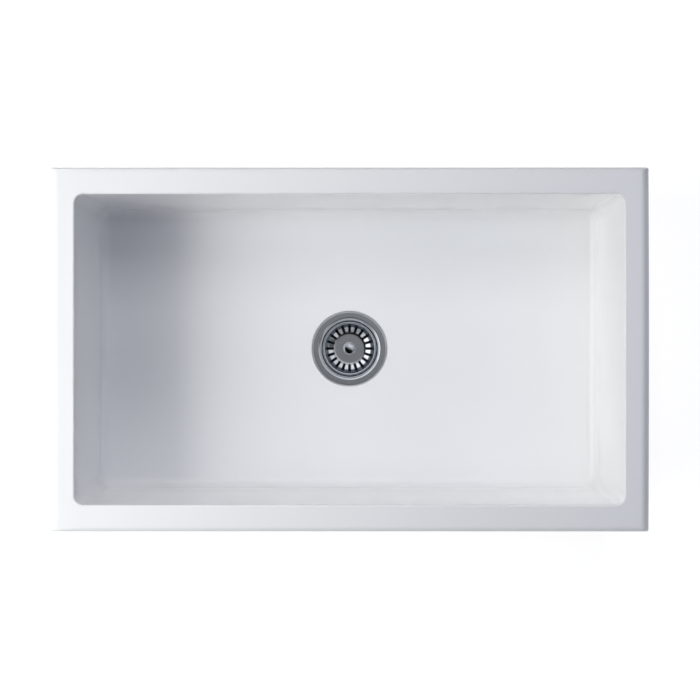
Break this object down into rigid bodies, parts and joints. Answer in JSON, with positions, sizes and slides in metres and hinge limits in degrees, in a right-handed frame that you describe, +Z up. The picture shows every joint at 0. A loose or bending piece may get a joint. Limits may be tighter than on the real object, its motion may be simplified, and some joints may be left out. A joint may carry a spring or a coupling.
{
  "type": "kitchen sink",
  "caption": "Rectangular white glazed ceramic kitchen sink with one deep bowl and a central steel basket strainer whose basket lifts out and turns.",
  "frame": {"origin": "centre of the plane that the bowl's foot rests on, on the axis of the waste", "axes": "+X to the right along the long side, +Y to the back, +Z up out of the bowl"},
  "size_m": [0.838, 0.508, 0.37],
  "materials": {
    "glazed_clay": "gloss white glaze",
    "satin_steel": "satin stainless steel",
    "polished_steel": "polished steel",
    "black_rubber": "matt moulded rubber",
    "red_fibre": "pressed fibre",
    "zinc": "die-cast zinc",
    "brass": "machined brass",
    "white_nylon": "moulded nylon"
  },
  "bodies": {
    "sink": {"bowl": "glazed_clay", "strainer_body": "satin_steel", "flange_seal": "black_rubber", "underside_gasket": "black_rubber", "fibre_ring": "red_fibre", "locknut": "zinc", "outlet_cross": "satin_steel", "outlet_sleeve": "brass", "tailpiece_washer": "white_nylon", "coupling_nut": "brass", "tailpiece": "polished_steel"},
    "plug": {"knob": "polished_steel", "stem": "satin_steel", "upper_washer": "white_nylon", "lower_washer": "white_nylon", "stopper_plate": "satin_steel", "stopper": "black_rubber", "stopper_retainer": "satin_steel", "stem_nut": "brass", "spring_clip": "satin_steel"},
    "basket": {"basket_cup": "satin_steel"}
  },
  "joints": [
    {"name": "plug_lift", "type": "slide", "parent": "sink", "child": "plug", "axis": [0, 0, 1], "range_m": [0, 0.32]},
    {"name": "basket_turn", "type": "hinge", "parent": "plug", "child": "basket", "pos_m": [0, 0, 0], "axis": [0, 0, 1], "continuous": true}
  ]
}
